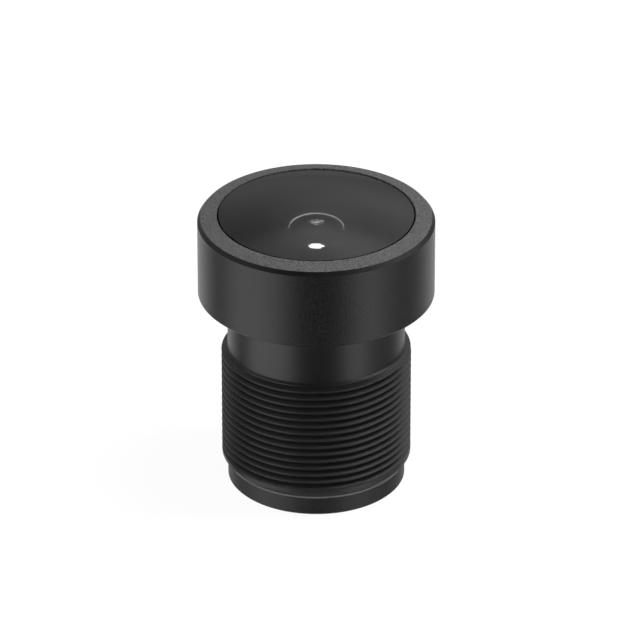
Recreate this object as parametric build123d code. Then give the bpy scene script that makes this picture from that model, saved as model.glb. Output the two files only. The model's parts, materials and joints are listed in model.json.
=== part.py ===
from build123d import *
import math
import os

# Board camera lens with a standard 12 mm fine thread, in millimetres.
# The origin is the centre of the rear end face, and +Z runs along the optical axis to the front element.
# Heights are stacked up from the rear face, and radii are stacked out from the thread.
os.makedirs("parts", exist_ok=True)

# Mounting thread
thread_radius = 6.0
thread_pitch = 0.5
flank_angle = 30
thread_length = 7.62
end_land = 0.5
end_chamfer_height = 0.45

# Barrel outside
collar_height = 1.06
collar_relief = 0.073
collar_edge_chamfer = 0.1
neck_relief = 0.093
neck_chamfer_height = 0.27
head_floor = 2.655
head_edge_chamfer = 0.08
head_wall = 0.43

# Barrel walls inside
thread_wall = 1.373
collar_wall = 0.9
neck_wall = 1.38
rear_bore_step = 0.35
front_bore_step = 0.35
seal_wall = 0.93
mouth_chamfer = 0.15

# Clearances
seat_clearance = 0.02
relief_gap = 0.05
pocket_clearance = 0.05
glass_gap = 0.04
shield_hole_gap = 0.05

# Infrared cut filter and the ring behind it
filter_recess = 0.2
filter_ring_height = 0.5
filter_ring_width = 0.8
filter_ring_chamfer = 0.2
filter_thickness = 0.3
back_space = 3.3

# Rear retaining ring
rear_ring_height = 1.25
rear_ring_nose = 0.2
rear_ring_flare = 0.45
spanner_slot_width = 0.8
spanner_slot_depth = 0.45

# Light shields, stop and spacers
shield_thickness = 0.05
stop_thickness = 0.1
stop_hole_radius = 0.85
stop_gap = 0.18
third_gap = 0.62
rear_gap = 0.4
spacer_hole_gap = 0.15
baffle_thickness = 0.12

# Rear element, with the width of the flat rims that it is held by
rear_rim_width = 1.1
rear_centre = 2.16
rear_front_rise = 0.796
rear_back_rise = 0.463

# Cemented doublet
doublet_rim_width = 1.1
doublet_front_rise = 0.72
doublet_front_edge = 0.6
doublet_joint_rise = 1.342
doublet_rear_centre = 0.665
doublet_rear_hollow = 0.343

# Third element
third_front_rim_width = 2.55
third_rear_rim_width = 1.3
third_centre = 3.11
third_front_rise = 0.55
third_rear_rise = 0.629

# Second element: its small front hollow lies in a shallow recess with a ground wall
second_recess_radius = 1.55
second_recess_depth = 0.025
second_recess_draft = 0.02
second_front_radius = 0.95
second_front_hollow = 0.14
second_rear_rim_width = 1.95
second_rear_hollow = 0.6
second_centre = 0.75

# Front element
front_rim_width = 3.8
front_hollow = 0.12
front_centre = 3.14
dome_rise = 0.959
dome_bevel = 0.06
dome_step = 0.78
ledge_width = 0.27
flange_bevel = 0.12

# Seal ring under the front element
seal_width = 0.7
seal_height = 0.45
seal_margin = 0.25
seal_slack = 0.05
seal_round = 0.15

# Front retaining ring
skirt_wall = 0.5
skirt_depth = 0.9
skirt_relief = 0.1
rim_above_glass = 0.03
rim_rise = 0.227
rim_chamfer_height = 0.243
rim_chamfer_width = 0.2
rim_edge_break = 0.04

# Thread profile: the depth is 17/24 of the sharp triangle's, and the crest is an eighth of the pitch wide
flank_slope = math.tan(math.radians(flank_angle))
thread_depth = 17 / 24 * thread_pitch / 2 / flank_slope
thread_crest = thread_pitch / 8
flank_height = thread_depth * flank_slope
root_radius = thread_radius - thread_depth

# Radii of the bores, and of the pieces that sit in them
collar_radius = root_radius - collar_relief
neck_radius = root_radius - neck_relief
filter_bore = collar_radius - collar_wall
ring_bore = root_radius - thread_wall
rear_bore = ring_bore - rear_bore_step
third_bore = neck_radius - neck_wall
second_bore = third_bore + front_bore_step
seal_inner = second_bore + seal_wall
seal_outer = seal_inner + seal_width
flange_radius = seal_outer + seal_margin
pocket_radius = flange_radius + seat_clearance
dome_radius = flange_radius - ledge_width
lip_radius = dome_radius + glass_gap
skirt_inner = flange_radius + pocket_clearance
skirt_radius = skirt_inner + skirt_wall
skirt_bore = skirt_radius + seat_clearance
head_radius = skirt_bore + head_wall
filter_radius = filter_bore - seat_clearance
ring_radius = ring_bore - seat_clearance
rear_radius = rear_bore - seat_clearance
third_radius = third_bore - seat_clearance
second_radius = second_bore - seat_clearance

# Radii of the polished surfaces, inside the elements' flat rims
rear_clear_radius = rear_radius - rear_rim_width
doublet_clear_radius = rear_radius - doublet_rim_width
third_front_radius = third_radius - third_front_rim_width
third_rear_radius = third_radius - third_rear_rim_width
second_rear_radius = second_radius - second_rear_rim_width
front_clear_radius = flange_radius - front_rim_width

# Heights of the faces that touch, from the rear end to the front
filter_rear = filter_recess + filter_ring_height
filter_seat = filter_rear + filter_thickness
ring_rear = filter_seat + back_space
rear_flat = ring_rear + rear_ring_height
rear_shoulder = rear_flat + rear_centre - rear_front_rise - rear_back_rise
rear_spacer_height = rear_gap + rear_front_rise - doublet_rear_hollow - shield_thickness
rear_spacer_top = rear_shoulder + rear_spacer_height
doublet_rear = rear_spacer_top + shield_thickness
doublet_joint_edge = doublet_rear + doublet_rear_hollow + doublet_rear_centre + doublet_joint_rise
doublet_front = doublet_joint_edge + doublet_front_edge
shoulder_rear = doublet_front + shield_thickness
shoulder_front = doublet_front + doublet_front_rise + stop_gap
stop_front = shoulder_front + stop_thickness
stop_spacer_top = stop_front + third_gap + third_rear_rise
third_rear = stop_spacer_top + shield_thickness
third_ledge = third_rear + third_centre - third_front_rise - third_rear_rise
second_rear = third_ledge + baffle_thickness
second_floor = second_rear + second_rear_hollow + second_centre + second_front_hollow
second_front = second_floor + second_recess_depth
front_rear = second_front + shield_thickness
front_hollow_vertex = front_rear + front_hollow
dome_vertex = front_hollow_vertex + front_centre
dome_edge = dome_vertex - dome_rise
front_ledge = dome_edge - dome_step
rim_edge = dome_edge + rim_above_glass
ring_seam = rim_edge - rim_rise - rim_chamfer_height

# Heights of the barrel's own steps
thread_start = collar_height + end_chamfer_height
thread_end = thread_start + thread_length
neck_start = thread_end + neck_chamfer_height
ring_step = rear_flat - rear_ring_nose / 2
second_step = second_rear - relief_gap
pocket_floor = front_rear - relief_gap
seal_floor = front_rear - seal_height
head_underside = seal_floor - head_floor
skirt_end = front_ledge - skirt_depth
skirt_floor = skirt_end - skirt_relief


def turned(*lines):
    """Closes the lines of a half section, radius across and height up, and turns it about the axis."""
    return revolve(Plane.XZ * make_face(list(lines)), Axis.Z)


def turned_ring(*corners):
    """A turned piece with straight edges only, given by its corners as (radius, height)."""
    return turned(Polyline(*corners, close=True))


def flat_ring(outer_radius, inner_radius, bottom, top):
    return turned_ring((inner_radius, bottom), (outer_radius, bottom), (outer_radius, top), (inner_radius, top))


def optical_surface(vertex, rim_radius, rim_height):
    """A spherical surface in section: from the axis, square to it, out to the rim."""
    return TangentArc((0, vertex), (rim_radius, rim_height), tangent=(1, 0))


def element(front, edge_corners, rear):
    """A glass element: front and rear are (vertex, rim radius, rim height), joined by the edge's corners."""
    edge = Polyline((front[1], front[2]), *edge_corners, (rear[1], rear[2]))
    axis_line = Line((0, rear[0]), (0, front[0]))
    return turned(optical_surface(*front), edge, optical_surface(*rear), axis_line)


def thread_corners():
    """Corners of the thread's grooves from the rear end upward, one ring groove for each pitch."""
    groove_count = int((thread_length - end_land) / thread_pitch)
    corners = []
    for groove in reversed(range(groove_count)):
        top = thread_end - thread_crest - groove * thread_pitch
        bottom = top - thread_pitch + thread_crest
        corners += [
            (thread_radius, bottom),
            (root_radius, bottom + flank_height),
            (root_radius, top - flank_height),
            (thread_radius, top),
        ]
    return corners


def barrel():
    outside = [
        (collar_radius - collar_edge_chamfer, 0),
        (collar_radius, collar_edge_chamfer),
        (collar_radius, collar_height),
        (thread_radius, thread_start),
        *thread_corners(),
        (thread_radius, thread_end),
        (neck_radius, neck_start),
        (neck_radius, head_underside),
        (head_radius - head_edge_chamfer, head_underside),
        (head_radius, head_underside + head_edge_chamfer),
        (head_radius, ring_seam),
    ]
    front_bores = [
        (skirt_bore, ring_seam),
        (skirt_bore, skirt_floor),
        (pocket_radius, skirt_floor),
        (pocket_radius, pocket_floor),
        (seal_outer, pocket_floor),
        (seal_outer, seal_floor),
        (seal_inner, seal_floor),
        (seal_inner, pocket_floor),
        (second_bore, pocket_floor),
        (second_bore, second_step),
        (third_bore, second_step),
        (third_bore, shoulder_front),
    ]
    shoulder_hole = doublet_clear_radius + shield_hole_gap
    rear_bores = [
        (shoulder_hole, shoulder_front),
        (shoulder_hole, shoulder_rear),
        (rear_bore, shoulder_rear),
        (rear_bore, ring_step),
        (ring_bore, ring_step),
        (ring_bore, filter_seat),
        (filter_bore, filter_seat),
        (filter_bore, mouth_chamfer),
        (filter_bore + mouth_chamfer, 0),
    ]
    return turned_ring(*outside, *front_bores, *rear_bores)


def front_retaining_ring():
    rim_start = head_radius - rim_chamfer_width
    return turned_ring(
        (head_radius, ring_seam),
        (rim_start, ring_seam + rim_chamfer_height),
        (lip_radius + rim_edge_break, rim_edge),
        (lip_radius, rim_edge - rim_edge_break),
        (lip_radius, front_ledge),
        (skirt_inner, front_ledge),
        (skirt_inner, skirt_end),
        (skirt_radius, skirt_end),
        (skirt_radius, ring_seam),
    )


def front_element():
    dome_rim = dome_radius - dome_bevel
    edge_corners = [
        (dome_radius, dome_edge - dome_bevel),
        (dome_radius, front_ledge),
        (flange_radius, front_ledge),
        (flange_radius, front_rear + flange_bevel),
        (flange_radius - flange_bevel, front_rear),
    ]
    return element(
        (dome_vertex, dome_rim, dome_edge),
        edge_corners,
        (front_hollow_vertex, front_clear_radius, front_rear),
    )


def second_element():
    edge_corners = [
        (second_recess_radius, second_floor),
        (second_recess_radius + second_recess_draft, second_front),
        (second_radius, second_front),
        (second_radius, second_rear),
    ]
    return element(
        (second_floor - second_front_hollow, second_front_radius, second_floor),
        edge_corners,
        (second_rear + second_rear_hollow, second_rear_radius, second_rear),
    )


def third_element():
    edge_corners = [
        (third_radius, third_ledge),
        (third_radius, third_rear),
    ]
    return element(
        (third_ledge + third_front_rise, third_front_radius, third_ledge),
        edge_corners,
        (third_rear - third_rear_rise, third_rear_radius, third_rear),
    )


def doublet_front_element():
    edge_corners = [
        (rear_radius, doublet_front),
    ]
    return element(
        (doublet_front + doublet_front_rise, doublet_clear_radius, doublet_front),
        edge_corners,
        (doublet_joint_edge - doublet_joint_rise, rear_radius, doublet_joint_edge),
    )


def doublet_rear_element():
    edge_corners = [
        (rear_radius, doublet_rear),
    ]
    return element(
        (doublet_joint_edge - doublet_joint_rise, rear_radius, doublet_joint_edge),
        edge_corners,
        (doublet_rear + doublet_rear_hollow, doublet_clear_radius, doublet_rear),
    )


def rear_element():
    edge_corners = [
        (rear_radius, rear_shoulder),
        (rear_radius, rear_flat),
    ]
    return element(
        (rear_shoulder + rear_front_rise, rear_clear_radius, rear_shoulder),
        edge_corners,
        (rear_flat - rear_back_rise, rear_clear_radius, rear_flat),
    )


def front_seal_ring():
    """The O-ring as squeezed in its groove: flat where it meets the glass and the groove, round at its sides."""
    inner = seal_inner + seal_slack
    outer = seal_outer - seal_slack
    return turned_ring(
        (inner + seal_round, seal_floor),
        (outer - seal_round, seal_floor),
        (outer, seal_floor + seal_round),
        (outer, front_rear - seal_round),
        (outer - seal_round, front_rear),
        (inner + seal_round, front_rear),
        (inner, front_rear - seal_round),
        (inner, seal_floor + seal_round),
    )


def light_shield(outer_radius, clear_radius, bottom):
    return flat_ring(outer_radius, clear_radius + shield_hole_gap, bottom, bottom + shield_thickness)


def rear_retaining_ring():
    hole_radius = rear_clear_radius + spacer_hole_gap
    nose_foot = ring_step - relief_gap
    ring = turned_ring(
        (hole_radius, rear_flat),
        (rear_radius, rear_flat),
        (rear_radius, nose_foot),
        (ring_radius, nose_foot),
        (ring_radius, ring_rear),
        (hole_radius + rear_ring_flare, ring_rear),
        (hole_radius, ring_rear + rear_ring_flare),
    )
    slot = Pos(0, 0, ring_rear) * Box(2 * ring_bore, spanner_slot_width, 2 * spanner_slot_depth)
    return ring - slot


def filter_retaining_ring():
    hole_radius = filter_radius - filter_ring_width
    return turned_ring(
        (hole_radius + filter_ring_chamfer, filter_recess),
        (filter_radius, filter_recess),
        (filter_radius, filter_rear),
        (hole_radius, filter_rear),
        (hole_radius, filter_recess + filter_ring_chamfer),
    )


parts = {
    "barrel": barrel(),
    "front_retaining_ring": front_retaining_ring(),
    "front_element": front_element(),
    "front_seal_ring": front_seal_ring(),
    "front_light_shield": light_shield(second_radius, front_clear_radius, second_front),
    "second_element": second_element(),
    "baffle_spacer": flat_ring(third_radius, third_front_radius + spacer_hole_gap, third_ledge, second_rear),
    "third_element": third_element(),
    "middle_light_shield": light_shield(third_radius, third_rear_radius, stop_spacer_top),
    "stop_spacer": flat_ring(third_radius, third_rear_radius + spacer_hole_gap, stop_front, stop_spacer_top),
    "aperture_stop": flat_ring(third_radius, stop_hole_radius, shoulder_front, stop_front),
    "doublet_light_shield": light_shield(rear_radius, doublet_clear_radius, doublet_front),
    "doublet_front_element": doublet_front_element(),
    "doublet_rear_element": doublet_rear_element(),
    "rear_light_shield": light_shield(rear_radius, doublet_clear_radius, rear_spacer_top),
    "rear_spacer": flat_ring(rear_radius, rear_clear_radius + spacer_hole_gap, rear_shoulder, rear_spacer_top),
    "rear_element": rear_element(),
    "rear_retaining_ring": rear_retaining_ring(),
    "ir_cut_filter": Pos(0, 0, filter_rear) * Cylinder(
        filter_radius, filter_thickness, align=(Align.CENTER, Align.CENTER, Align.MIN)
    ),
    "filter_retaining_ring": filter_retaining_ring(),
}

for node, solid in parts.items():
    solid.label = node
    export_step(solid, f"parts/{node}.step")
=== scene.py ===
import json
import math

import bmesh
import bpy
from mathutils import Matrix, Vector


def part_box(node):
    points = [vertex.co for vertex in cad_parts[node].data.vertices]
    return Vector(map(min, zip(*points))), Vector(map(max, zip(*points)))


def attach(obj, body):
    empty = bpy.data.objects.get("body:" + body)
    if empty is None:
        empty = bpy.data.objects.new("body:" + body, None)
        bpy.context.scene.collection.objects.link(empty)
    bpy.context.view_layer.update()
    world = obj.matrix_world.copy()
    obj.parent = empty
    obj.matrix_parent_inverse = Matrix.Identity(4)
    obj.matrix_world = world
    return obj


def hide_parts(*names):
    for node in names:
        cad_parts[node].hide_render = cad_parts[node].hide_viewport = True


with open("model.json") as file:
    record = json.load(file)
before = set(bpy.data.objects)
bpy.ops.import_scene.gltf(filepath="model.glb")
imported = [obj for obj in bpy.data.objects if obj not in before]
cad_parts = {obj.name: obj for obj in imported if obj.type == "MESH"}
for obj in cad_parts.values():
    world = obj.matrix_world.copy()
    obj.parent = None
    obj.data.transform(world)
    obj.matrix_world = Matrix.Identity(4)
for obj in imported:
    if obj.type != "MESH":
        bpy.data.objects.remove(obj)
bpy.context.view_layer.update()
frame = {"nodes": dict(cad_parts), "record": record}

MM = 0.001

# Thread, as in the solids: M12 x 0.5, right-handed, with crests an eighth of the pitch wide, and as deep as
# 17/24 of the sharp profile
THREAD_RADIUS = 6.0 * MM
PITCH = 0.5 * MM
FLANK_SLOPE = math.tan(math.radians(30))
SHARP_HEIGHT = PITCH / 2 / FLANK_SLOPE
THREAD_DEPTH = 17 / 24 * SHARP_HEIGHT
CREST = PITCH / 8
FLANK = THREAD_DEPTH * FLANK_SLOPE
FLANK_ROWS = 2
CREST_ROUND = 0.035 * MM
ROUND_ROWS = 3
# The thread of the solid is rings, whose grooves lie between these heights
RINGS_LOW = 1.6 * MM
RINGS_HIGH = 9.1 * MM
# The helix has a crest at this height on the camera's side, so at angle 0 a groove is this share of a pitch
# above it
FIRST_CREST = 9.068 * MM
START_SHARE = 0.75
LAST_GROOVE = 1.95 * MM
RUN_OUT = 0.3 * MM
# Turns of points laid out past the thread, which gather at its ends
SPARE_TURNS = 2

# Below the helix: a scored line, the chamfer at the thread's foot, and the hollow corner over the collar
SCORE_HEIGHT = 2.06 * MM
SCORE_DEPTH = 0.05 * MM
SCORE_HALF_WIDTH = 0.05 * MM
THREAD_FOOT = 1.75 * MM
COLLAR_TOP = 1.29 * MM
FOOT_ROUND = 0.015 * MM
COLLAR_ROUND = 0.25 * MM
FOOT_ROW = 0.03 * MM
# Above it: the hollow corner between its upper chamfer and the neck
NECK_ROUND = 0.22 * MM
CORNER_STEPS = 5

# How finely the pieces are divided
TURN_STEPS = 256
ARC_STEP = math.radians(1)
FEWEST_ARC_STEPS = 8
SHARP_ANGLE = math.radians(24)
# How far a point may be off a sphere, a line may bend and two points may be apart and still count as none
SPHERE_MARGIN = 0.0003 * MM
STRAIGHT_ANGLE = math.radians(0.3)
WELD = 0.0001 * MM


# Sections of the turned nodes
def seam_edges(node):
    """Points (radius, height) and edges where the plane y = 0 cuts a node's solid, on its +X side."""
    mesh = bmesh.new()
    mesh.from_mesh(frame["nodes"][node].data)
    bmesh.ops.remove_doubles(mesh, verts=mesh.verts, dist=WELD)
    for normal in (Vector((1, 0, 0)), Vector((0, 1, 0))):
        geometry = [*mesh.verts, *mesh.edges, *mesh.faces]
        clear = normal.x > 0
        bmesh.ops.bisect_plane(
            mesh, geom=geometry, dist=WELD, plane_co=(0, 0, 0), plane_no=normal, clear_inner=clear
        )
    mesh.verts.index_update()
    on_seam = {v.index for v in mesh.verts if abs(v.co.y) < 2 * WELD}
    edges = []
    for edge in mesh.edges:
        ends = [v.index for v in edge.verts]
        on_axis = all(abs(v.co.x) < 2 * WELD for v in edge.verts)
        if on_seam.issuperset(ends) and not on_axis:
            edges.append(ends)
    points = {v.index: (max(v.co.x, 0.0), v.co.z) for v in mesh.verts if v.index in on_seam}
    mesh.free()
    return points, edges


def turn_angle(before, here, after):
    """How far a line bends at a point, from 0 to pi."""
    first = Vector(here) - Vector(before)
    second = Vector(after) - Vector(here)
    return first.angle(second)


def drop_straight(points, closed):
    """Leaves out the points where a line runs straight on."""
    kept = []
    for i, here in enumerate(points):
        inner = closed or 0 < i < len(points) - 1
        after = points[(i + 1) % len(points)]
        if inner and turn_angle(points[i - 1], here, after) < STRAIGHT_ANGLE:
            continue
        kept.append(here)
    return kept


def smooth_cap(points):
    """Divides the spherical surface at the start of a line, which is on the axis, into a fine arc."""
    vertex = points[0][1]
    rise = points[1][1] - vertex
    if abs(rise) < WELD:
        return points
    radius = (points[1][0] ** 2 + rise**2) / (2 * rise)

    def off_sphere(point):
        return abs(math.hypot(point[0], point[1] - vertex - radius) - abs(radius))

    last = 1
    while last < len(points) - 1 and off_sphere(points[last + 1]) < SPHERE_MARGIN:
        last += 1
    sweep = math.asin(points[last][0] / abs(radius))
    steps = max(FEWEST_ARC_STEPS, math.ceil(sweep / ARC_STEP))
    arc = []
    for i in range(steps):
        angle = sweep * i / steps
        arc.append((abs(radius) * math.sin(angle), vertex + radius * (1 - math.cos(angle))))
    return arc + points[last:]


def section(node):
    """The points of a node's half section in order, and whether it is closed, as a ring's is.

    The section of a piece that reaches the axis is open, and starts and ends there.
    """
    points, edges = seam_edges(node)
    beside = {}
    for a, b in edges:
        beside.setdefault(a, []).append(b)
        beside.setdefault(b, []).append(a)
    ends = [i for i, others in beside.items() if len(others) == 1]
    closed = not ends
    here = min(ends or beside, key=lambda i: points[i][1])
    chain = [here]
    while True:
        onward = [i for i in beside[here] if i not in chain[-2:] and i != chain[0]]
        if not onward:
            break
        here = onward[0]
        chain.append(here)
    line = drop_straight([points[i] for i in chain], closed)
    if not closed:
        line = smooth_cap(line)
        line = smooth_cap(line[::-1])[::-1]
    return line, closed


# Turned meshes
def turned(name, profile_at, closed):
    """A piece turned about the axis. profile_at(angle) gives its half section, always of as many points."""
    mesh = bmesh.new()
    columns = []
    for step in range(TURN_STEPS + 1):
        angle = 2 * math.pi * step / TURN_STEPS
        along_x, along_y = math.cos(angle), math.sin(angle)
        columns.append([mesh.verts.new((r * along_x, r * along_y, z)) for r, z in profile_at(angle)])
    rows = len(columns[0])
    for left, right in zip(columns, columns[1:]):
        for row in range(rows if closed else rows - 1):
            above = (row + 1) % rows
            mesh.faces.new((left[row], right[row], right[above], left[above]))
    bmesh.ops.remove_doubles(mesh, verts=mesh.verts, dist=WELD)
    bmesh.ops.dissolve_degenerate(mesh, edges=mesh.edges, dist=WELD)
    bmesh.ops.recalc_face_normals(mesh, faces=mesh.faces)
    data = bpy.data.meshes.new(name)
    mesh.to_mesh(data)
    mesh.free()
    data.shade_smooth()
    data.set_sharp_from_angle(angle=SHARP_ANGLE)
    piece = bpy.data.objects.new(name, data)
    bpy.context.scene.collection.objects.link(piece)
    return piece


# The barrel's thread
def ease(x):
    """Rises smoothly from 0 at 0 to 1 at 1."""
    x = min(max(x, 0.0), 1.0)
    return x * x * (3 - 2 * x)


def follow(points, height):
    """The radius at a height along a line of points (radius, height) that runs upward."""
    for (r_low, z_low), (r_high, z_high) in zip(points, points[1:]):
        if height <= z_high:
            return r_low + (r_high - r_low) * max(height - z_low, 0.0) / (z_high - z_low)
    return points[-1][0]


def rounded(before, corner, after, radius):
    """Points of the arc that rounds a corner between two other points."""
    corner = Vector(corner)
    back = (Vector(before) - corner).normalized()
    onward = (Vector(after) - corner).normalized()
    half = back.angle(onward) / 2
    centre = corner + (back + onward).normalized() * radius / math.sin(half)
    start = corner + back * radius / math.tan(half) - centre
    end = corner + onward * radius / math.tan(half) - centre
    sweep = math.pi - 2 * half
    points = []
    for i in range(CORNER_STEPS + 1):
        angle = sweep * i / CORNER_STEPS
        point = centre + (start * math.sin(sweep - angle) + end * math.sin(angle)) / math.sin(sweep)
        points.append((point.x, point.y))
    return points


def groove_side():
    """Points (depth, height) from a groove's middle up to the crest's, with the crest's edge rounded."""
    root_half = (PITCH - CREST) / 2 - FLANK
    flank_angle = math.atan(1 / FLANK_SLOPE)
    edge = root_half + FLANK + CREST_ROUND * math.tan(flank_angle / 2)
    round_edge = []
    for i in range(ROUND_ROWS + 1):
        angle = flank_angle * (1 - i / ROUND_ROWS)
        round_edge.append((CREST_ROUND * (1 - math.cos(angle)), edge - CREST_ROUND * math.sin(angle)))
    return [(THREAD_DEPTH, 0.0), (THREAD_DEPTH, root_half), *round_edge, (0.0, PITCH / 2)]


def groove_rows(side):
    """Heights of the rows of one pitch, from a groove's middle to the next one's."""
    root, flank_end = side[1][1], side[2][1]
    heights = [root + (flank_end - root) * i / FLANK_ROWS for i in range(FLANK_ROWS)]
    heights += [height for depth, height in side[2:-1]]
    return heights + [PITCH - height for height in reversed(heights)]


def in_groove(point):
    """Whether a point of the barrel's section is in one of the grooves between the solid's thread rings."""
    r, z = point
    deepest = THREAD_RADIUS - THREAD_DEPTH - WELD
    return deepest < r < THREAD_RADIUS - WELD and RINGS_LOW < z < RINGS_HIGH


def threaded_profile(line):
    """Splits the barrel's section at its thread rings, and returns a function that puts the helix there."""
    grooves = [i for i, point in enumerate(line) if in_groove(point)]
    first, last = grooves[0] - 2, grooves[-1] + 2
    if line[first][1] > line[last][1]:
        raise ValueError("the barrel's section should run upward along the thread")
    collar_corner = (line[first - 1][0], COLLAR_TOP)
    foot = (THREAD_RADIUS, THREAD_FOOT)
    score = [
        (THREAD_RADIUS, SCORE_HEIGHT - SCORE_HALF_WIDTH),
        (THREAD_RADIUS - SCORE_DEPTH, SCORE_HEIGHT),
        (THREAD_RADIUS, SCORE_HEIGHT + SCORE_HALF_WIDTH),
    ]
    below = line[: first - 1] + rounded(line[first - 2], collar_corner, foot, COLLAR_ROUND)
    above = rounded(line[last], line[last + 1], line[last + 2], NECK_ROUND) + line[last + 2:]
    foot_corner = rounded(collar_corner, foot, score[0], FOOT_ROUND)
    outside = [below[-1], *foot_corner, *score, line[last], above[0]]
    low, high = below[-1][1], above[0][1]
    foot_end = SCORE_HEIGHT + 2 * SCORE_HALF_WIDTH
    foot_rows = [low + FOOT_ROW * i for i in range(1, int((foot_end - low) / FOOT_ROW))]
    side = groove_side()
    rows = groove_rows(side)
    turns = range(int((low - FIRST_CREST) / PITCH) - SPARE_TURNS, SPARE_TURNS + 1)

    def radius(z, middle):
        groove = middle + PITCH * round((z - middle) / PITCH)
        depth = follow(side, abs(z - groove)) * ease((groove - LAST_GROOVE) / RUN_OUT)
        return min(follow(outside, z), THREAD_RADIUS - depth)

    def at(angle):
        middle = FIRST_CREST + PITCH * (START_SHARE + angle / (2 * math.pi))
        heights = list(foot_rows)
        for turn in turns:
            heights += [min(max(middle + PITCH * turn + row, foot_end), high) for row in rows]
        return below + [(radius(z, middle), z) for z in heights] + above

    return at


# Materials
def material(name):
    """A new material, with its nodes and their links."""
    made = bpy.data.materials.new(name)
    made.use_nodes = True
    return made, made.node_tree.nodes, made.node_tree.links


# The share of the noise over which a grain goes from its dark to its light shade, and how fine the noise is
GRAIN_SPAN = (0.38, 0.62)
GRAIN_DETAIL = 3


def grained(name, dark, light, roughness, specular, grains, relief):
    """Anodised metal: near black, with so many grains to the millimetre in its colour and its relief."""
    made, nodes, links = material(name)
    shader = nodes["Principled BSDF"]
    shader.inputs["Roughness"].default_value = roughness
    shader.inputs["Specular IOR Level"].default_value = specular
    place = nodes.new("ShaderNodeTexCoord")
    noise = nodes.new("ShaderNodeTexNoise")
    noise.inputs["Scale"].default_value = grains / MM
    noise.inputs["Detail"].default_value = GRAIN_DETAIL
    links.new(place.outputs["Object"], noise.inputs["Vector"])
    ramp = nodes.new("ShaderNodeValToRGB")
    for element, position, shade in zip(ramp.color_ramp.elements, GRAIN_SPAN, (dark, light)):
        element.position = position
        element.color = (*shade, 1)
    links.new(noise.outputs["Fac"], ramp.inputs["Fac"])
    links.new(ramp.outputs["Color"], shader.inputs["Base Color"])
    bump = nodes.new("ShaderNodeBump")
    bump.inputs["Distance"].default_value = relief
    links.new(noise.outputs["Fac"], bump.inputs["Height"])
    links.new(bump.outputs["Normal"], shader.inputs["Normal"])
    return made


# The tint of a glass changes by a hundredth, over patches of some millimetres
GLASS_IOR = 1.52
CLEAR = (0.97, 0.975, 0.98)
TINT_CHANGE = 1.01
TINT_PATCHES = 0.2


def glass(name, tint, reflection, haze=0.0):
    """Optical glass whose coating leaves only a share of its reflections.

    Haze blurs the light that the rest of the surface lets through.
    """
    made, nodes, links = material(name)
    shader = nodes["Principled BSDF"]
    shader.inputs["Transmission Weight"].default_value = 1
    shader.inputs["Roughness"].default_value = 0
    shader.inputs["IOR"].default_value = GLASS_IOR
    through = nodes.new("ShaderNodeBsdfRefraction")
    through.inputs["Roughness"].default_value = haze
    through.inputs["IOR"].default_value = GLASS_IOR
    coating = nodes.new("ShaderNodeMixShader")
    coating.inputs[0].default_value = reflection
    links.new(through.outputs[0], coating.inputs[1])
    links.new(shader.outputs[0], coating.inputs[2])
    links.new(coating.outputs[0], nodes["Material Output"].inputs["Surface"])
    place = nodes.new("ShaderNodeTexCoord")
    noise = nodes.new("ShaderNodeTexNoise")
    noise.inputs["Scale"].default_value = TINT_PATCHES / MM
    links.new(place.outputs["Object"], noise.inputs["Vector"])
    ramp = nodes.new("ShaderNodeValToRGB")
    ramp.color_ramp.elements[0].color = (*tint, 1)
    ramp.color_ramp.elements[1].color = (*[min(1, part * TINT_CHANGE) for part in tint], 1)
    links.new(noise.outputs["Fac"], ramp.inputs["Fac"])
    links.new(ramp.outputs["Color"], shader.inputs["Base Color"])
    links.new(ramp.outputs["Color"], through.inputs["Color"])
    return made


head_black = grained(
    "blasted_black", dark=(0.0005, 0.0005, 0.0005), light=(0.009, 0.009, 0.0092),
    roughness=0.29, specular=0.43, grains=17, relief=0.016 * MM,
)
rim_black = grained(
    "blasted_rim", dark=(0.012, 0.012, 0.0122), light=(0.064, 0.064, 0.065),
    roughness=0.5, specular=0.37, grains=12, relief=0.05 * MM,
)
satin_black = grained(
    "satin_black", dark=(0.003, 0.003, 0.0031), light=(0.005, 0.005, 0.0052),
    roughness=0.36, specular=0.5, grains=18, relief=0.004 * MM,
)
# The thread's black is lighter than the barrel's other blacks: painted light that lifts the shade in its
# grooves. Its roughness and specular level are its own.
thread_black_painted_light = grained(
    "cut_black_painted_light", dark=(0.011, 0.011, 0.0112), light=(0.016, 0.016, 0.0163),
    roughness=0.32, specular=0.26, grains=18, relief=0.004 * MM,
)
collar_black = grained(
    "collar_black", dark=(0.004, 0.004, 0.0041), light=(0.007, 0.007, 0.0071),
    roughness=0.48, specular=0.42, grains=14, relief=0.008 * MM,
)
polished_black = grained(
    "polished_black", dark=(0.001, 0.001, 0.001), light=(0.002, 0.002, 0.002),
    roughness=0.25, specular=0.45, grains=18, relief=0.002 * MM,
)
# A lighter line along the collar's upper edge: a painted highlight where that edge catches the light
painted_edge_highlight = grained(
    "painted_edge_highlight", dark=(0.05, 0.05, 0.051), light=(0.09, 0.09, 0.092),
    roughness=0.4, specular=0.4, grains=14, relief=0.008 * MM,
)
matt_black = grained(
    "matt_black", dark=(0.003, 0.003, 0.003), light=(0.006, 0.006, 0.006),
    roughness=0.7, specular=0.1, grains=14, relief=0.01 * MM,
)
edge_paint = grained(
    "black_edge_paint", dark=(0.002, 0.002, 0.002), light=(0.003, 0.003, 0.003),
    roughness=0.8, specular=0.0, grains=9, relief=0.001 * MM,
)
ground_glass = grained(
    "ground_glass", dark=(0.88, 0.88, 0.88), light=(0.96, 0.96, 0.96),
    roughness=0.6, specular=0.5, grains=14, relief=0.004 * MM,
)
rubber = grained(
    "black_rubber", dark=(0.008, 0.008, 0.008), light=(0.014, 0.014, 0.014),
    roughness=0.6, specular=0.3, grains=6, relief=0.02 * MM,
)
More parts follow.
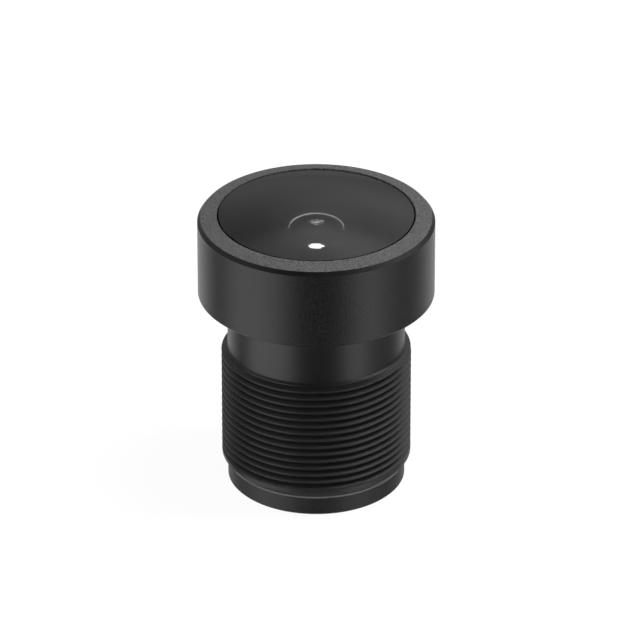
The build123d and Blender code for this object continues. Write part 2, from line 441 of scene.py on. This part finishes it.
# The small hollow's glass is tinted almost black, so it lets almost nothing through: painted shade that
# stands in for the dark inside of the lens behind it
dome_glass = glass("coated_glass", CLEAR, 0.72, haze=0.28)
rear_glass = glass("rear_coated_glass", CLEAR, 0.02)
inner_glass = glass("inner_coated_glass", CLEAR, 0.1)
hollow_glass_painted_shade = glass("moulded_glass_painted_shade", (0.008, 0.008, 0.0082), 0.12)
filter_glass = glass("filter_glass", (0.80, 0.93, 0.90), 0.8)

FINISHES = {
    "black_anodised": satin_black,
    "blasted_anodised": rim_black,
    "inner_anodised": matt_black,
    "coated_glass": dome_glass,
    "filter_glass": filter_glass,
    "black_film": matt_black,
    "seal_rubber": rubber,
}
SLOTS = {part["node"]: part["material_slot"] for part in frame["record"]["subparts"]}


def give(piece, *finishes):
    for finish in finishes:
        piece.data.materials.append(finish)


def repaint(piece, number, chosen):
    """Gives finish number to the faces that chosen(radius, height, normal) picks by their centres."""
    for face in piece.data.polygons:
        centre = face.center
        if chosen(math.hypot(centre.x, centre.y), centre.z, face.normal):
            face.material_index = number


# The barrel's outside lies past this radius, and its head's side wall past the next one
OUTSIDE_RADIUS = 5.5 * MM
HEAD_RADIUS = 7.3 * MM
# How tall the head's side wall is, and the heights over which the head is hollow and the neck is plain
HEAD_HEIGHT = 4.95 * MM
HEAD_INSIDE = 13.5 * MM
NECK_START = 9.3 * MM
# Half the width of the painted highlight, a lighter line along the collar's upper edge
EDGE_HIGHLIGHT_HALF_WIDTH = 0.075 * MM


def finish_barrel(piece):
    give(piece, satin_black, head_black, matt_black, thread_black_painted_light, collar_black, painted_edge_highlight)
    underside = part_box("barrel")[1].z - HEAD_HEIGHT
    collar_end = COLLAR_TOP + EDGE_HIGHLIGHT_HALF_WIDTH
    repaint(piece, 1, lambda r, z, n: z > underside and r > HEAD_RADIUS)
    # The thread takes the lighter black, whose colour holds painted light for its grooves
    repaint(piece, 3, lambda r, z, n: z < NECK_START and r > OUTSIDE_RADIUS)
    repaint(piece, 4, lambda r, z, n: z < collar_end and r > OUTSIDE_RADIUS)
    # The painted highlight along the collar's upper edge
    repaint(piece, 5, lambda r, z, n: abs(z - COLLAR_TOP) < EDGE_HIGHLIGHT_HALF_WIDTH and r > OUTSIDE_RADIUS)
    repaint(piece, 2, lambda r, z, n: r < OUTSIDE_RADIUS or (z > HEAD_INSIDE and r < HEAD_RADIUS))


# The width of the ring's polished chamfer, and how far down and in from its outside it can be seen
RIM_CHAMFER_WIDTH = 0.205 * MM
RIM_HEIGHT = 0.5 * MM
RIM_WALL = 0.3 * MM


def finish_front_ring(piece):
    """The rim is blasted, its outer chamfer polished and all that is inside the head matt."""
    give(piece, rim_black, polished_black, matt_black)
    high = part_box("front_retaining_ring")[1]
    repaint(piece, 1, lambda r, z, n: r > high.x - RIM_CHAMFER_WIDTH)
    repaint(piece, 2, lambda r, z, n: z < high.z - RIM_HEIGHT and r < high.x - RIM_WALL)


# A face is flat where its normal's part along the axis is over the first value, and a straight wall where
# it is under the second
FLAT = 0.9999
UPRIGHT = 0.001
# No flat face of an element lies nearer the axis than this, only the middles of its polished faces
POLISHED_RADIUS = 0.94 * MM


def finish_element(piece):
    """The flat and straight faces at the side of an element are ground and blackened."""
    give(piece, inner_glass, edge_paint)
    repaint(piece, 1, lambda r, z, n: (abs(n.z) > FLAT and r > POLISHED_RADIUS) or abs(n.z) < UPRIGHT)


# The dome's height with its edge, a radius inside that edge, and how near the rear a face counts as its rim
DOME_HEIGHT = 0.97 * MM
DOME_MIDDLE = 5.5 * MM
REAR_MARGIN = 0.0005 * MM


def finish_front_element(piece):
    """The dome and the rear hollow are polished, and the rest is blackened."""
    give(piece, dome_glass, edge_paint, rear_glass)
    low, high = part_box("front_element")
    dome_edge = high.z - DOME_HEIGHT
    flat_rear = low.z + REAR_MARGIN
    repaint(piece, 2, lambda r, z, n: n.z < 0)
    repaint(piece, 1, lambda r, z, n: z < flat_rear or (z < dome_edge and r > DOME_MIDDLE))


# The shallow recess in the second element's front, and the small hollow in the middle of that
RECESS_RADIUS = 1.6 * MM
RECESS_DEPTH = 0.024 * MM
RECESS_WALL_SLOPE = 0.9
HOLLOW_RADIUS = 0.95 * MM


def finish_second_element(piece):
    """The thin wall of the recess in the front is left ground, and shows as a bright line."""
    finish_element(piece)
    give(piece, ground_glass, hollow_glass_painted_shade)
    wall_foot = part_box("second_element")[1].z - RECESS_DEPTH
    repaint(piece, 2, lambda r, z, n: r < RECESS_RADIUS and z > wall_foot and n.z < RECESS_WALL_SLOPE)
    # The small hollow takes the near-black glass, whose tint is painted shade
    repaint(piece, 3, lambda r, z, n: r < HOLLOW_RADIUS and n.z > 0)


def sharpen_seams(piece):
    """Marks the edges between two finishes sharp, so that each surface is shaded for itself."""
    mesh = bmesh.new()
    mesh.from_mesh(piece.data)
    for edge in mesh.edges:
        if len({face.material_index for face in edge.link_faces}) > 1:
            edge.smooth = False
    mesh.to_mesh(piece.data)
    mesh.free()


FINISHERS = {
    "barrel": finish_barrel,
    "front_retaining_ring": finish_front_ring,
    "front_element": finish_front_element,
    "second_element": finish_second_element,
    "third_element": finish_element,
}


def dress(node):
    """Turns a node's section again in finer steps, finishes the piece and puts it in the node's place."""
    line, closed = section(node)
    profile_at = threaded_profile(line) if node == "barrel" else lambda angle: line
    piece = turned(node + "_turned", profile_at, closed)
    finisher = FINISHERS.get(node)
    if finisher:
        finisher(piece)
    else:
        give(piece, FINISHES[SLOTS[node]])
    sharpen_seams(piece)
    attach(piece, "root")
    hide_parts(node)


# The one node that isn't round, because of its spanner slot, keeps its own mesh
SLOTTED_NODE = "rear_retaining_ring"
for node in SLOTS:
    if node != SLOTTED_NODE:
        dress(node)
for place in frame["nodes"][SLOTTED_NODE].material_slots:
    place.material = matt_black


# Studio
STUDIO_PEAK = 4.0
# What smooth surfaces mirror, by the sine of the elevation: a dim table, a dark horizon and a bright ceiling
ELEVATION_STOPS = [
    (-1.0, 0.5),
    (-0.82, 1.0),
    (-0.62, 0.5),
    (-0.42, 0.5),
    (-0.13, 0.14),
    (0.0, 0.2),
    (0.48, 0.7),
    (0.64, 0.74),
    (0.84, 1.52),
    (0.91, 1.3),
    (1.0, 1.7),
]
# How bright the table and horizon are, by azimuth in degrees: 0 at the camera's side, 90 at its right
AZIMUTH_STOPS = [
    (-180, 1.6),
    (-140, 1.7),
    (-116, 0.4),
    (-104, 0.4),
    (-88, 3.5),
    (-42, 3.8),
    (-20, 0.2),
    (27, 0.2),
    (46, 3.5),
    (60, 3.3),
    (74, 1.1),
    (90, 0.7),
    (114, 0.4),
    (140, 1.5),
    (180, 1.6),
]
# The sines of elevation over which that fades out, above the horizon and down on the table
HORIZON_FADE = (-0.1, 0.35)
TABLE_FADE = (-0.85, -0.6)
# How much brighter the ceiling is at the right than in the middle, and how dim it is over the camera
CEILING_TILT = 0.34
CEILING_FRONT = 0.1
# Where the ceiling starts, as a sine of the elevation, and where it changes to the right and to the back
CEILING_START = (0.1, 0.4)
CEILING_RIGHT = (-0.35, 0.35)
CEILING_BACK = (-0.65, -0.1)
# A lamp low at the right that shows in rounded corners: azimuth, sine of the elevation, and brightness
LOW_LAMP_AZIMUTH = (45, 60, 90, 105)
LOW_LAMP_SINE = (-0.05, 0.05, 0.3, 0.4)
LOW_LAMP = 3.0
# The light that matt surfaces get from all round
EVEN_LIGHT = 0.45


def math_node(tree, operation, first, second):
    made = tree.nodes.new("ShaderNodeMath")
    made.operation = operation
    for socket, value in zip(made.inputs, (first, second)):
        if isinstance(value, (int, float)):
            socket.default_value = value
        else:
            tree.links.new(value, socket)
    return made.outputs[0]


def stops_ramp(tree, source, stops):
    """A brightness that follows a value through (value, brightness) stops."""
    low, high = stops[0][0], stops[-1][0]
    place = tree.nodes.new("ShaderNodeMapRange")
    place.inputs["From Min"].default_value = low
    place.inputs["From Max"].default_value = high
    tree.links.new(source, place.inputs["Value"])
    ramp = tree.nodes.new("ShaderNodeValToRGB")
    elements = ramp.color_ramp.elements
    present = len(elements)
    ramp.color_ramp.interpolation = "EASE"
    for i, (value, brightness) in enumerate(stops):
        position = (value - low) / (high - low)
        element = elements[i] if i < present else elements.new(position)
        element.position = position
        element.color = (*[brightness / STUDIO_PEAK] * 3, 1)
    tree.links.new(place.outputs["Result"], ramp.inputs["Fac"])
    return math_node(tree, "MULTIPLY", ramp.outputs["Color"], STUDIO_PEAK)


def eased(tree, source, span, result):
    """Follows a value over its span with a smooth change between two results."""
    place = tree.nodes.new("ShaderNodeMapRange")
    place.interpolation_type = "SMOOTHSTEP"
    for socket, value in zip(("From Min", "From Max", "To Min", "To Max"), (*span, *result)):
        place.inputs[socket].default_value = value
    tree.links.new(source, place.inputs["Value"])
    return place.outputs["Result"]


def window(tree, source, span, peak):
    """Rises to a peak over the first two values of a span, and falls again over its last two."""
    rise = eased(tree, source, span[:2], (0.0, peak))
    fall = eased(tree, source, span[2:], (1.0, 0.0))
    return math_node(tree, "MULTIPLY", rise, fall)


def faded(tree, factor, share):
    """A factor that counts in part: 1 where the share is 0, and the whole factor where it is 1."""
    over = math_node(tree, "SUBTRACT", factor, 1.0)
    part = math_node(tree, "MULTIPLY", over, share)
    return math_node(tree, "ADD", part, 1.0)


def mirrored_studio(tree):
    """What a smooth surface mirrors in each direction, from its x, y and z."""
    place = tree.nodes.new("ShaderNodeTexCoord")
    axes = tree.nodes.new("ShaderNodeSeparateXYZ")
    tree.links.new(place.outputs["Generated"], axes.inputs[0])
    x, y, z = axes.outputs
    to_camera = math_node(tree, "MULTIPLY", y, -1.0)
    azimuth = math_node(tree, "ARCTAN2", x, to_camera)
    degrees = math_node(tree, "MULTIPLY", azimuth, 180 / math.pi)

    below_ceiling = eased(tree, z, HORIZON_FADE, (1.0, 0.0))
    above_table = eased(tree, z, TABLE_FADE, (0.0, 1.0))
    side_share = math_node(tree, "MULTIPLY", below_ceiling, above_table)
    side = faded(tree, stops_ramp(tree, degrees, AZIMUTH_STOPS), side_share)

    to_right = eased(tree, x, CEILING_RIGHT, (1 - CEILING_TILT, 1 + CEILING_TILT))
    to_back = eased(tree, y, CEILING_BACK, (CEILING_FRONT, 1.0))
    ceiling_share = eased(tree, z, CEILING_START, (0.0, 1.0))
    ceiling = faded(tree, math_node(tree, "MULTIPLY", to_right, to_back), ceiling_share)

    lamp_side = window(tree, degrees, LOW_LAMP_AZIMUTH, LOW_LAMP)
    lamp_height = window(tree, z, LOW_LAMP_SINE, 1.0)
    lamp = math_node(tree, "MULTIPLY", lamp_side, lamp_height)

    by_height = stops_ramp(tree, z, ELEVATION_STOPS)
    above = math_node(tree, "MULTIPLY", by_height, ceiling)
    around = math_node(tree, "MULTIPLY", above, side)
    return math_node(tree, "ADD", around, lamp)


def make_world():
    """White behind the object, an even light for matt surfaces, and a studio for smooth ones to mirror."""
    world = bpy.data.worlds.new("studio")
    bpy.context.scene.world = world
    world.use_nodes = True
    tree = world.node_tree
    path = tree.nodes.new("ShaderNodeLightPath")
    over_even = math_node(tree, "SUBTRACT", mirrored_studio(tree), EVEN_LIGHT)
    mirrored_part = math_node(tree, "MULTIPLY", over_even, path.outputs["Is Glossy Ray"])
    light = math_node(tree, "ADD", mirrored_part, EVEN_LIGHT)
    strength = math_node(tree, "MAXIMUM", light, path.outputs["Is Camera Ray"])
    background = tree.nodes["Background"]
    background.inputs["Color"].default_value = (1, 1, 1, 1)
    tree.links.new(strength, background.inputs["Strength"])


FLOOR_SIZE = 3000 * MM
FLOOR_SHADE = (0.9, 0.9, 0.9, 1)
FLOOR_ROUGHNESS = 0.9
# The share of the floor's look that is plain white to the camera. The rest takes the object's shadow
FLOOR_WHITE_SHARE = 0.95


def make_floor():
    """A white table that the camera sees as white, with a faint shadow."""
    bpy.ops.mesh.primitive_plane_add(size=FLOOR_SIZE, location=(0, 0, 0))
    floor = bpy.context.object
    floor.name = "floor"
    made, nodes, links = material("white_table")
    shader = nodes["Principled BSDF"]
    shader.inputs["Base Color"].default_value = FLOOR_SHADE
    shader.inputs["Roughness"].default_value = FLOOR_ROUGHNESS
    shader.inputs["Specular IOR Level"].default_value = 0.0
    path = nodes.new("ShaderNodeLightPath")
    part = math_node(made.node_tree, "MULTIPLY", path.outputs["Is Camera Ray"], FLOOR_WHITE_SHARE)
    glow = nodes.new("ShaderNodeEmission")
    mix = nodes.new("ShaderNodeMixShader")
    links.new(part, mix.inputs[0])
    links.new(shader.outputs[0], mix.inputs[1])
    links.new(glow.outputs[0], mix.inputs[2])
    links.new(mix.outputs[0], nodes["Material Output"].inputs["Surface"])
    floor.data.materials.append(made)
    floor.visible_glossy = False


def aimed(thing, place, target):
    thing.location = place
    thing.rotation_mode = "QUATERNION"
    thing.rotation_quaternion = (Vector(target) - Vector(place)).to_track_quat("-Z", "Y")


def way_to(azimuth, elevation):
    """The direction to a place in the studio. Azimuth 0 is at the camera's side, and 90 at its right."""
    a, e = math.radians(azimuth), math.radians(elevation)
    return Vector((math.sin(a) * math.cos(e), -math.cos(a) * math.cos(e), math.sin(e)))


CARD_DISTANCE = 350 * MM
CARD_AIM = Vector((0, 0, 18 * MM))
CARD_STEPS = 16
# The power that shapes the pointed card's outline: 2 is a parabola, and more is blunter
CARD_BULGE = 2.4


def card_mesh(name, half_width, half_height, pointed):
    mesh = bmesh.new()
    top, bottom = [], []
    for i in range(CARD_STEPS + 1):
        along = 2 * i / CARD_STEPS - 1
        rise = half_height * (1 - abs(along) ** CARD_BULGE) if pointed else half_height
        top.append(mesh.verts.new((along * half_width, rise, 0)))
        bottom.append(mesh.verts.new((along * half_width, -rise, 0)))
    mesh.faces.new(bottom + top[::-1])
    data = bpy.data.meshes.new(name)
    mesh.to_mesh(data)
    mesh.free()
    return data


def make_card(name, half_width, half_height, azimuth, elevation, strength, soft=False):
    """A bright card that only mirrors show. It is pointed at both ends, or fades to its edges."""
    data = card_mesh(name, half_width, half_height, not soft)
    card = bpy.data.objects.new(name, data)
    bpy.context.scene.collection.objects.link(card)
    made, nodes, links = material(name + "_glow")
    glow = nodes.new("ShaderNodeEmission")
    glow.inputs["Strength"].default_value = strength
    links.new(glow.outputs[0], nodes["Material Output"].inputs["Surface"])
    if soft:
        place = nodes.new("ShaderNodeTexCoord")
        scaled = nodes.new("ShaderNodeMapping")
        scaled.inputs["Scale"].default_value = (1 / half_width, 1 / half_height, 1)
        fade = nodes.new("ShaderNodeTexGradient")
        fade.gradient_type = "QUADRATIC_SPHERE"
        links.new(place.outputs["Object"], scaled.inputs["Vector"])
        links.new(scaled.outputs["Vector"], fade.inputs["Vector"])
        links.new(fade.outputs["Color"], glow.inputs["Color"])
    data.materials.append(made)
    aimed(card, CARD_AIM + way_to(azimuth, elevation) * CARD_DISTANCE, CARD_AIM)
    card.visible_camera = False
    card.visible_diffuse = False
    card.visible_shadow = False
    return card


SOFTBOX_DISTANCE = 450 * MM
SOFTBOX_AIM = Vector((0, 0, 9 * MM))
SOFTBOX_SIZE = (160 * MM, 300 * MM)


def softbox(name, azimuth, elevation, power):
    """A rectangular area lamp that lights matt surfaces and isn't mirrored."""
    lamp = bpy.data.lights.new(name, "AREA")
    lamp.shape = "RECTANGLE"
    lamp.size, lamp.size_y = SOFTBOX_SIZE
    lamp.energy = power
    holder = bpy.data.objects.new(name, lamp)
    bpy.context.scene.collection.objects.link(holder)
    aimed(holder, SOFTBOX_AIM + way_to(azimuth, elevation) * SOFTBOX_DISTANCE, SOFTBOX_AIM)
    holder.visible_camera = False
    holder.visible_glossy = False
    holder.visible_transmission = False


make_floor()
make_world()
softbox("left_softbox", azimuth=-62, elevation=35, power=0.6)
softbox("right_softbox", azimuth=92, elevation=62, power=3.8)
# The white spot in the front glass
make_card("spot_card", 13.2 * MM, 8.8 * MM, azimuth=180, elevation=56.9, strength=30)
# The soft light that only the inner surfaces mirror
inner_card = make_card("inner_card", 100 * MM, 40 * MM, azimuth=-174, elevation=49, strength=60, soft=True)
inner_card.visible_glossy = False


# Camera, placed so that the point at VIEW_HEIGHT on the axis falls on AXIS_PIXEL of the picture
VIEW_ELEVATION = math.radians(28.67)
VIEW_DISTANCE = 400.7 * MM
VIEW_HEIGHT = 9.242 * MM
FOCAL_PIXELS = 6341.8
IMAGE_PIXELS = 640
SENSOR = 36.0
AXIS_PIXEL = (316.27, 343.70)
NEAREST_SHOWN = 10 * MM


def make_camera():
    data = bpy.data.cameras.new("view")
    data.sensor_width = SENSOR
    data.lens = FOCAL_PIXELS / IMAGE_PIXELS * SENSOR
    data.clip_start = NEAREST_SHOWN
    camera = bpy.data.objects.new("view", data)
    bpy.context.scene.collection.objects.link(camera)
    back = Vector((0, -math.cos(VIEW_ELEVATION), math.sin(VIEW_ELEVATION)))
    up = Vector((0, math.sin(VIEW_ELEVATION), math.cos(VIEW_ELEVATION)))
    pixel = VIEW_DISTANCE / FOCAL_PIXELS
    half = IMAGE_PIXELS / 2
    aim = Vector((half - AXIS_PIXEL[0], 0, 0)) * pixel + up * (AXIS_PIXEL[1] - half) * pixel
    target = Vector((0, 0, VIEW_HEIGHT)) + aim
    camera.location = target + back * VIEW_DISTANCE
    camera.rotation_mode = "QUATERNION"
    camera.rotation_quaternion = (-back).to_track_quat("-Z", "Y")
    bpy.context.scene.camera = camera


make_camera()
bpy.context.scene.view_settings.view_transform = "Standard"
